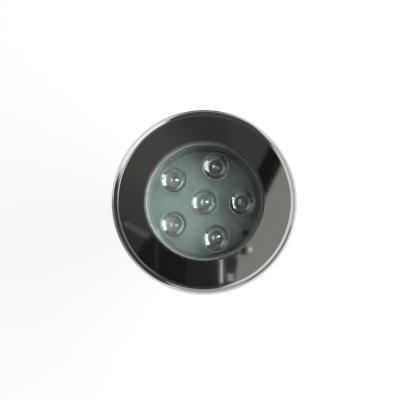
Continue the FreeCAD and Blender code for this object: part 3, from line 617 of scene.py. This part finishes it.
sleeve_bore, sleeve_neck, sleeve_head = 4.0, 6.3, 7.9
gland_seal = turned("gland_seal_moulded",
                    [(sleeve_bore, seal_low.z, 0.5), (sleeve_head, seal_low.z, 0.2),
                     (sleeve_head, body_low.z, 0), (sleeve_neck, body_low.z, 0),
                     (sleeve_neck, seal_high.z, 0.3), (sleeve_bore, seal_high.z, 0.3)], steps=80)
black_rubber = dull("black_rubber", (0.018, 0.018, 0.018), (0.040, 0.040, 0.038), (0.50, 0.72), 500.0, 0.02,
                    sheen=0.35)
finish_piece(gland_seal, black_rubber, ["gland_seal"])
washer_low, washer_high = edges_of("gland_washer")
gland_washer = washer("gland_washer_cut", gland_hole, washer_high.x, washer_low.z, washer_high.z, ease=0.4,
                      steps=96)
finish_piece(gland_washer, black_rubber, ["gland_washer"])


# Driver and carrier.
# Under the light board, out of sight: hexagonal posts on the can's floor, a plain aluminium plate, and a
# current driver on a green board that hangs from the plate on nylon spacers.
def dress(material, *names):
    """Gives CAD nodes their finish."""
    for name in names:
        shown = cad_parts[name]
        shown.data.materials.clear()
        shown.data.materials.append(material)


drawn_aluminium = metal("drawn_aluminium", (0.60, 0.60, 0.61), (0.72, 0.72, 0.73), (0.25, 0.42),
                        lambda node: cloud(node, 300.0, 3.0, (3.0, 3.0, 0.15)), 0.01)
dress(drawn_aluminium, "carrier_posts", "carrier_plate")
fastener_steel = metal("fastener_steel", (0.46, 0.46, 0.45), (0.64, 0.64, 0.63), (0.18, 0.36),
                       lambda node: cloud(node, 420.0), 0.01)
dress(fastener_steel, "driver_screws", "plate_screws")
dress(dull("pad_grey", (0.22, 0.22, 0.23), (0.30, 0.30, 0.31), (0.7, 0.9), 900.0, 0.02), "thermal_pad")
dress(dull("driver_mask", (0.006, 0.040, 0.018), (0.010, 0.060, 0.026), (0.28, 0.42), 350.0, 0.02),
      "driver_board")
nylon = dull("nylon", (0.62, 0.61, 0.55), (0.72, 0.71, 0.65), (0.38, 0.55), 380.0, 0.01)
dress(nylon, "driver_spacers")
dress(dull("capacitor_sleeve", (0.008, 0.010, 0.022), (0.016, 0.018, 0.034), (0.22, 0.34), 250.0, 0.005),
      "driver_capacitors")
dress(dull("ferrite", (0.016, 0.016, 0.017), (0.034, 0.034, 0.034), (0.55, 0.8), 900.0, 0.02),
      "driver_inductor")
dress(dull("chip_resin", (0.010, 0.010, 0.011), (0.020, 0.020, 0.021), (0.45, 0.6), 1100.0, 0.01),
      "driver_regulator", "driver_diodes")
dress(dull("terminal_green", (0.010, 0.090, 0.030), (0.016, 0.120, 0.044), (0.3, 0.45), 300.0, 0.01),
      "supply_terminal")
dress(black_rubber, "lead_grommet")

# Light board.
# An aluminium board under a pale grey-green mask, stuck to the plate by a heat-conducting pad.
board_low, board_high = edges_of("light_board")
grommet_low, grommet_high = edges_of("lead_grommet")
lead_circle = ((grommet_low + grommet_high) / 2).to_2d().length
lead_angle, lead_hole = 324, 2.4
board = turned("light_board_masked", [(0, board_low.z, 0), (board_high.x, board_low.z, 0.15),
                                      (board_high.x, board_high.z, 0.25), (0, board_high.z, 0)], ring=False)
drill(board, lead_hole, board_low.z - overcut, board_high.z + overcut, *on_circle(lead_circle, lead_angle))
board_mask, shader, node = new_material("board_mask")
grain = cloud(node, 160.0)
two_tones(node, shader, grain, (0.234, 0.266, 0.257), (0.276, 0.314, 0.302))
feed(shader, "Roughness", spread(node, grain, 0.42, 0.6))
relief(node, shader, lathe_marks(node, 240.0, 0.0), 0.03)
finish_piece(board, board_mask, ["light_board"], angle=30)

# Light chips.
# Surface-mounted emitters: a square ceramic base under a moulded dome, one below each lens.
chip_half, chip_base, chip_ease, chip_dome, dome_sink = 1.75, 0.9, 0.12, 1.4, 0.1
chip_foot = edges_of("light_chip_1")[0].z
dome_foot = chip_foot + chip_base
bpy.ops.object.select_all(action="DESELECT")
bpy.ops.mesh.primitive_cube_add(size=2 * chip_half * MM, location=(0, 0, (chip_foot + chip_base / 2) * MM),
                                scale=(1, 1, chip_base / (2 * chip_half)))
chip = bpy.context.object
bpy.ops.object.transform_apply(location=True, rotation=False, scale=True)
apply_modifier(chip, "BEVEL", width=chip_ease * MM, segments=2)
dome_line = [(chip_dome * math.sin(math.radians(a)), dome_foot + chip_dome * math.cos(math.radians(a)), 0)
             for a in range(0, 91, 9)]
dome = turned("chip_dome", dome_line + [(chip_dome, dome_foot - dome_sink, 0), (0, dome_foot - dome_sink, 0)],
              steps=32, ring=False)
chip = join_pieces([chip, dome], "light_chip")
chip_ceramic = dull("chip_ceramic", (0.20, 0.22, 0.19), (0.30, 0.32, 0.27), (0.12, 0.30), 900.0, 0.01)
lens_circle = (edges_of("lens_2")[0].x + edges_of("lens_2")[1].x) / 2
lens_places = [(0.0, 0)] + [(lens_circle, 72 * i) for i in range(5)]


def turned_place(radius, angle):
    """Matrix that carries a piece from the lamp's axis to a place on a circle."""
    return Matrix.Rotation(math.radians(angle), 4, "Z") @ Matrix.Translation((radius * MM, 0, 0))


def set_out(piece, kind, ending, material, shadow):
    """Copies one piece to all six lens places, and removes the pattern piece."""
    for number, place in enumerate(lens_places, start=1):
        copy = copy_of(piece, f"{kind}_{number}_{ending}", turned_place(*place))
        finish_piece(copy, material, [f"{kind}_{number}"], angle=30)
        copy.visible_shadow = shadow
    bpy.data.objects.remove(piece)


set_out(chip, "light_chip", "domed", chip_ceramic, shadow=True)

# Lens cups.
# Clear moulded cups that stand each lens over its chip. Three windows in the wall leave three legs.
cup_low, cup_high = edges_of("lens_cup_1")
cup_inner, cup_outer, chip_hole, cup_floor = 10.7, 11.5, 3.4, cup_low.z + 1.2
cup = turned("lens_cup", [(chip_hole, cup_low.z, 0), (cup_outer, cup_low.z, 0.2), (cup_outer, cup_high.z, 0.25),
                          (cup_inner, cup_high.z, 0.25), (cup_inner, cup_floor, 0.3),
                          (chip_hole, cup_floor, 0.2)], steps=96)
gap_size, gap_out, gap_up, gap_ease = (6.0, 11.0, 8.0), 11.0, 5.5, 0.8
for turn in (0, 120, 240):
    bpy.ops.object.select_all(action="DESELECT")
    bpy.ops.mesh.primitive_cube_add(size=MM, location=(gap_out * MM, 0, (cup_floor + gap_up) * MM),
                                    scale=gap_size)
    gap = bpy.context.object
    bpy.ops.object.transform_apply(location=True, rotation=False, scale=True)
    apply_modifier(gap, "BEVEL", width=gap_ease * MM, segments=3)
    gap.data.transform(Matrix.Rotation(math.radians(turn), 4, "Z"))
    cut_away(cup, gap)


def clear_plastic(name, sockets, scale, rough, depth=0.01):
    """A clear moulding whose gloss and relief follow the marks of its flow into the mould."""
    material, shader, node = new_material(name, sockets)
    flow = cloud(node, scale)
    feed(shader, "Roughness", spread(node, flow, *rough))
    relief(node, shader, flow, depth)
    return material


cup_clear = clear_plastic("cup_clear", {"Base Color": (0.34, 0.375, 0.36, 1), "Transmission Weight": 0.55,
                                        "IOR": 1.40}, 220.0, (0.05, 0.22))
set_out(cup, "lens_cup", "clear", cup_clear, shadow=False)

# Lenses.
# Moulded acrylic collimators: a flared side, a hollow foot over the chip, and a dished front with a dimple.
lens_low, lens_high = edges_of("lens_1")
lens_radius, rim_height, neck, foot_radius, side_bulge = 10.5, 1.5, 10.0, 5.0, 0.9 * math.sqrt(2)
cavity_radius, cavity_depth, cavity_rise = 3.4, 4.5, 1.4
land_radius, slope_radius, slope_bow = 9.6, 6.8, 0.26
dish_radius, dish_depth, dish_curl = 5.4, 2.2, 0.37
dimple_radius, dimple_depth = 2.5, 0.8
rim_under, dish_z = lens_high.z - rim_height, lens_high.z - dish_depth
slope_z, cavity_top = dish_z + dish_curl, lens_low.z + cavity_depth


def bowl_points(start, start_z, edge, edge_z, count=10):
    """Points of an arc that leaves its start level and rises or falls to its edge."""
    run, rise = edge - start, edge_z - start_z
    radius = (run * run + rise * rise) / (2 * abs(rise))
    most = math.asin(run / radius)
    return [(start + radius * math.sin(most * i / count),
             start_z + math.copysign(radius * (1 - math.cos(most * i / count)), rise), 0)
            for i in range(count + 1)]


def slope_points(count=8):
    """The dish's slope, which steepens a little on its way up to the land."""
    run, rise = land_radius - slope_radius, lens_high.z - slope_z
    return [(slope_radius + run * i / count,
             slope_z + rise * i / count - slope_bow * i / count * (1 - i / count), 0)
            for i in range(1, count + 1)]


def flare_points(count=12):
    """The side's bulged line from the foot up to the rim, between its two ends."""
    first, last = Vector((foot_radius, lens_low.z)), Vector((neck, rim_under))
    chord = last - first
    out = Vector((chord.y, -chord.x)).normalized()
    return [(*(first + chord * (i / count) + out * side_bulge * (1 - (2 * i / count - 1) ** 2)), 0)
            for i in range(1, count)]


lens = turned("lens", bowl_points(0, dish_z - dimple_depth, dimple_radius, dish_z)
              + bowl_points(dish_radius, dish_z, slope_radius, slope_z) + slope_points()
              + [(lens_radius, lens_high.z, 0.2), (lens_radius, rim_under, 0.1), (neck, rim_under, 0)]
              + flare_points()[::-1] + [(foot_radius, lens_low.z, 0.1), (cavity_radius, lens_low.z, 0)]
              + bowl_points(0, cavity_top, cavity_radius, cavity_top - cavity_rise)[::-1], steps=96, ring=False)
lens_clear = clear_plastic("lens_clear", {"Base Color": (0.97, 0.985, 0.98, 1), "Transmission Weight": 1.0,
                                          "IOR": 1.49, "Coat Weight": 1.0, "Coat IOR": 1.6,
                                          "Coat Roughness": 0.02}, 130.0, (0.0, 0.03))
set_out(lens, "lens", "clear", lens_clear, shadow=False)

# Leads.
# Two insulated leads come up through a grommet and are soldered to the board.
dress(dull("lead_white", (0.21, 0.23, 0.22), (0.25, 0.28, 0.27), (0.40, 0.55), 400.0, 0.01), "lead_positive")
dress(dull("lead_grey", (0.16, 0.18, 0.17), (0.19, 0.21, 0.20), (0.40, 0.55), 400.0, 0.01), "lead_negative")

# Reflector cone.
# A ring spun from thin aluminium and painted pale, which stands on the board round the lenses and hides the
# board's edge.
cone_low, cone_high = edges_of("reflector_cone")
cone_wall, cup_clearance = 0.9, 0.7
cone_foot = lens_circle + cup_outer + cup_clearance
cone = turned("reflector_cone_spun",
              [(cone_foot, cone_low.z, 0.1), (cone_foot + cone_wall, cone_low.z, 0.1),
               (cone_high.x, cone_high.z, 0.3), (cone_high.x - cone_wall, cone_high.z, 0.3)], steps=160)
cone_paint = dull("cone_paint", (0.119, 0.136, 0.130), (0.141, 0.159, 0.153), (0.42, 0.60), 240.0, 0.01)
finish_piece(cone, cone_paint, ["reflector_cone"])

# Gasket.
# A moulded channel of pale silicone that wraps the glass's edge. The bezel's lip presses on it, and a bead of
# it stands up inside the window.
gasket_low, gasket_high = edges_of("glass_gasket")
glass_low, glass_high = edges_of("glass")
face = face_z / MM
window_radius, lip_depth = 47.8, 3.5
lip_foot = face - lip_depth
grip_width, channel_gap, bead_gap, bead_width, bead_spread = 6.0, 0.1, 0.2, 0.5, 1.8
gasket_grip, channel = glass_high.x - grip_width, glass_high.x + channel_gap
bead_outer = window_radius - bead_gap
gasket = turned("glass_gasket_moulded",
                [(bead_outer - bead_width, gasket_high.z, 0.2), (bead_outer, gasket_high.z, 0.2),
                 (bead_outer, lip_foot, 0), (gasket_high.x, lip_foot, 0.7), (gasket_high.x, gasket_low.z, 1.4),
                 (gasket_grip, gasket_low.z, 0.3), (gasket_grip, glass_low.z, 0.2), (channel, glass_low.z, 0),
                 (channel, glass_high.z, 0), (window_radius - bead_spread, glass_high.z, 0)], steps=160)
silicone = dull("silicone", (0.145, 0.158, 0.154), (0.185, 0.200, 0.195), (0.26, 0.36), 260.0, 0.02,
                sockets={"Subsurface Weight": 0.15, "Subsurface Radius": (0.002, 0.002, 0.002)})
finish_piece(gasket, silicone, ["glass_gasket"])

# Glass.
# An 8 mm disc of tempered soda-lime glass, faintly green, with ground bevels at its edge.
grind = 0.8
glass_flat = glass_high.x - grind
glass = turned("glass_disc", [(0, glass_low.z, 0), (glass_flat, glass_low.z, 0),
                              (glass_high.x, glass_low.z + grind, 0), (glass_high.x, glass_high.z - grind, 0),
                              (glass_flat, glass_high.z, 0), (0, glass_high.z, 0)], steps=160, ring=False)
glass_clear, shader, node = new_material(
    "glass_clear", {"Base Color": (0.87, 0.945, 0.92, 1), "Transmission Weight": 1.0, "IOR": 1.5})
feed(shader, "Roughness", spread(node, cloud(node, 60.0, 6.0), 0.0, 0.02, 0.45, 0.75))
finish_piece(glass, glass_clear, ["glass"], angle=25)
glass.visible_shadow = False

# Bezel.
# A wide flat ring drawn from stainless sheet and buffed to a mirror, with a rolled rim and a satin lip at the
# window. The lip's steel is painted darker than the face, as painted shade that dims its reflection. It is held
# from behind by studs welded to it.
bezel_radius, bezel_sheet = cad_high.x / MM, 1.5
rim_roll, lip_roll, roll_margin, skirt_depth = 6.0, 0.5, 0.2, 13.0
inner_window, inner_rim = window_radius + bezel_sheet, bezel_radius - bezel_sheet
face_under, skirt_foot = face - bezel_sheet, face - skirt_depth
bezel = turned("bezel_polished",
               [(window_radius, lip_foot, 0.2), (window_radius, face, lip_roll),
                (window_radius + lip_roll + roll_margin, face, 0),
                (bezel_radius - rim_roll - roll_margin, face, 0), (bezel_radius, face, rim_roll),
                (bezel_radius, skirt_foot, sheet_ease), (inner_rim, skirt_foot, sheet_ease),
                (inner_rim, face_under, rim_roll - bezel_sheet), (inner_window, face_under, 0),
                (inner_window, lip_foot, 0.2)], steps=240)
mirror_steel, shader, node = new_material("mirror_steel", {"Metallic": 1.0})
lip_rough, lip_share = 0.26, 0.4
lip_range = (window_radius + lip_share * lip_roll) * MM, (window_radius + lip_roll) * MM
reach = from_axis(node)
buff = spread(node, cloud(node, 900.0, 3.0), 0.025, 0.06)
lip_satin = spread(node, reach, lip_rough, 0.0, *lip_range)
feed(shader, "Roughness", node("ShaderNodeMath", buff, lip_satin, operation="ADD").outputs[0])
# Painted shade: the lip's base colour is darker than the face's, which dims the lip's reflection as if it lay
# in shade by the glass.
lip_painted_shade = node("ShaderNodeMix", data_type="RGBA", A=(0.25, 0.25, 0.245, 1), B=(0.62, 0.62, 0.605, 1),
             Factor=spread(node, reach, 0.0, 1.0, *lip_range))
feed(shader, "Base Color", lip_painted_shade.outputs["Result"])
finish_piece(bezel, mirror_steel, ["bezel"])
apply_modifier(bezel, "WEIGHTED_NORMAL", keep_sharp=True)

# Bezel fixings.
# Six M4 studs welded behind the bezel, with plain washers and nuts under the mouth ring's flange.
stud_low, stud_high = edges_of("bezel_studs")
stud_tip, stud_root, stud_pitch, stud_lead = 1.45, 1.65, 0.7, 0.4
stud_thread_end, stud_shank = stud_high.z - 1.5, stud_high.z - 1.2
stud = turned("stud", [(0, stud_low.z, 0), (stud_tip, stud_low.z, 0)]
              + thread_outline(stud_root, stud_radius, stud_low.z + stud_lead, stud_thread_end, stud_pitch)
              + [(stud_radius, stud_shank, 0), (stud_radius, stud_high.z, 0), (0, stud_high.z, 0)],
              steps=28, ring=False)
stud_washer_low, stud_washer_high = edges_of("bezel_washers")
stud_washer_radius = 4.5
stud_washer = washer("stud_washer", stud_hole, stud_washer_radius, stud_washer_low.z, stud_washer_high.z,
                     ease=0.15, steps=40)
stud_nut_low, stud_nut_high = edges_of("bezel_nuts")
nut_flats, nut_tapping, nut_flare, flare_below, flare_above = 7.0, 2.1, 2.9, 0.6, 0.3
stud_nut = eased_hexagon("stud_nut", nut_flats, stud_nut_low.z, stud_nut_high.z)
nut_bore = turned("nut_bore",
                  [(0, stud_nut_low.z - overcut, 0), (nut_flare, stud_nut_low.z - flare_below, 0),
                   (nut_tapping, stud_nut_low.z + flare_above, 0),
                   (nut_tapping, stud_nut_high.z + overcut, 0), (0, stud_nut_high.z + overcut, 0)],
                  steps=32, ring=False)
cut_away(stud_nut, nut_bore)
for pattern, name, node_name in ((stud, "bezel_studs_threaded", "bezel_studs"),
                                 (stud_washer, "bezel_washers_plain", "bezel_washers"),
                                 (stud_nut, "bezel_nuts_eased", "bezel_nuts")):
    copies = [copy_of(pattern, f"{node_name}_{angle}", turned_place(stud_circle, angle))
              for angle in stud_angles]
    bpy.data.objects.remove(pattern)
    finish_piece(join_pieces(copies, name), fastener_steel, [node_name], angle=28)

# Bracket.
# A strip of 2.5 mm stainless sheet bent to a U and brushed along its length. Its arms taper to round ends at
# the tilt bolts, and two holes in its base take anchors.
bracket_high = edges_of("bracket")[1]
arm_x, half_width = bracket_high.x, bracket_high.y
strip, bend_outside, shoulder, arm_round = 2.5, 7.0, 18.0, 13.0
base_step, arm_step, tip_share = 14.0, 8.0, 0.9998
anchor_place, anchor_hole, bolt_hole = 35.0, 3.5, 3.08


def arm_half_width(z):
    """Half the arm's width at a height: full to the shoulder, straight taper to the round end's tangent."""
    reach = math.hypot(half_width, pivot_z - shoulder)
    angle = math.pi - math.atan2(half_width, pivot_z - shoulder) - math.acos(arm_round / reach)
    touch_y, touch_z = arm_round * math.sin(angle), pivot_z + arm_round * math.cos(angle)
    if z <= shoulder:
        return half_width
    if z <= touch_z:
        return half_width + (touch_y - half_width) * (z - shoulder) / (touch_z - shoulder)
    return math.sqrt(max(0.0, arm_round ** 2 - (z - pivot_z) ** 2))


base = [(base_step * i, 0.0) for i in range(4)]
bend = [(arm_x - bend_outside + bend_outside * math.sin(math.radians(a)),
         bend_outside - bend_outside * math.cos(math.radians(a))) for a in range(0, 91, 9)]
heights = [shoulder + arm_step * i for i in range(7)]
heights += [pivot_z + arm_round * math.sin(math.radians(a)) for a in range(-6, 90, 6)]
heights += [pivot_z + arm_round * tip_share]
half_line = base + bend + [(arm_x, z) for z in heights]
bracket = draw_profile("bracket_bent", [(-x, z) for x, z in half_line[:0:-1]] + half_line)
bpy.ops.mesh.extrude_region_move(TRANSFORM_OT_translate={"value": (0, 2 * half_width * MM, 0)})
drawing = bmesh.from_edit_mesh(bracket.data)
for point in drawing.verts:
    side = 1 if point.co.y > 0 else -1
    point.co.y = side * arm_half_width(point.co.z / MM) * MM
bmesh.update_edit_mesh(bracket.data)
bpy.ops.mesh.select_all(action="SELECT")
bpy.ops.mesh.normals_make_consistent(inside=False)
bpy.ops.object.mode_set(mode="OBJECT")
apply_modifier(bracket, "SOLIDIFY", thickness=strip * MM, offset=-1.0)
for anchor_x in (-anchor_place, anchor_place):
    drill(bracket, anchor_hole, -overcut, strip + overcut, anchor_x)
bpy.ops.object.select_all(action="DESELECT")
bpy.ops.mesh.primitive_cylinder_add(vertices=48, radius=bolt_hole * MM, depth=(2 * arm_x + 10 * overcut) * MM,
                                    location=(0, 0, pivot_z * MM), rotation=(0, math.pi / 2, 0))
cut_away(bracket, bpy.context.object)
apply_modifier(bracket, "BEVEL", width=sheet_ease * MM, segments=2, limit_method="ANGLE",
               angle_limit=math.radians(40))
brushed_steel = metal("brushed_steel", (0.50, 0.50, 0.49), (0.64, 0.64, 0.63), (0.24, 0.40),
                      lambda node: cloud(node, 900.0, 4.0, (0.03, 1.0, 0.03)), 0.012)
finish_piece(bracket, brushed_steel, ["bracket"], "bracket", 30)

# Tilt bolts.
# On each side an M6 bolt with a nylon friction washer inside the bracket's arm, and a plain and a spring
# washer outside it.
friction_end, flat_end = edges_of("friction_washers")[1].x, edges_of("pivot_flat_washers")[1].x
head_start, head_end = edges_of("pivot_spring_washers")[1].x, edges_of("pivot_bolts")[1].x
friction_radius, flat_radius, flat_thickness = 9.0, 6.0, 1.2
spring_radius, spring_bore, spring_ease = 5.4, 3.12, 0.15
split_size, split_out, split_slant = (4.0, 0.7, 5.0), 4.3, math.radians(35)
friction = washer("friction", bolt_hole, friction_radius, boss_end, friction_end, ease=0.2, steps=64)
finish_piece(on_both_sides(friction, "friction_washers_cut"), nylon, ["friction_washers"])
flat_start = flat_end - flat_thickness
flat_washer = washer("flat_washer", bolt_hole, flat_radius, flat_start, flat_end, ease=0.2, steps=64)
finish_piece(on_both_sides(flat_washer, "pivot_flat_washers_plain"), fastener_steel,
             ["pivot_flat_washers"])
spring = washer("spring", spring_bore, spring_radius, flat_end, head_start, ease=spring_ease, steps=64,
                bore_ease=spring_ease)
bpy.ops.object.select_all(action="DESELECT")
bpy.ops.mesh.primitive_cube_add(size=MM, location=(split_out * MM, 0, (flat_end + head_start) / 2 * MM),
                                rotation=(split_slant, 0, 0), scale=split_size)
cut_away(spring, bpy.context.object)
finish_piece(on_both_sides(spring, "pivot_spring_washers_split"), fastener_steel,
             ["pivot_spring_washers"], angle=28)

bolt_tip, bolt_root, bolt_radius, bolt_pitch, head_flats = 2.4, 2.5, 3.0, 1.0, 10.0
bolt_start, thread_start = can_radius + 1.0, can_radius + 1.5
shank_start, shank_end = boss_end + 0.3, head_start + 0.5
bolt = turned("bolt", [(0, bolt_start, 0), (bolt_tip, bolt_start, 0)]
              + thread_outline(bolt_root, bolt_radius, thread_start, boss_end, bolt_pitch)
              + [(bolt_radius, shank_start, 0), (bolt_radius, shank_end, 0), (0, shank_end, 0)],
              steps=40, ring=False)
head_face, head_corner, head_ease = 4.8, corner_of(head_flats) + hexagon_slack, 0.5
dish_edge, dish_flat, head_step = 4.2, 3.8, 0.25
bolt_head = hexagon("bolt_head", head_flats, head_start, head_end,
                    [(0, head_start, 0), (head_face, head_start, 0), (head_face, head_start + head_step, 0),
                     (head_corner, head_start + head_step, 0), (head_corner, head_end - head_ease, 0),
                     (head_face, head_end, 0), (dish_edge, head_end, 0), (dish_flat, head_end - head_step, 0),
                     (0, head_end - head_step, 0)])
bolts = on_both_sides(join_pieces([bolt, bolt_head], "bolt"), "pivot_bolts_threaded")
finish_piece(bolts, fastener_steel, ["pivot_bolts"], angle=28)
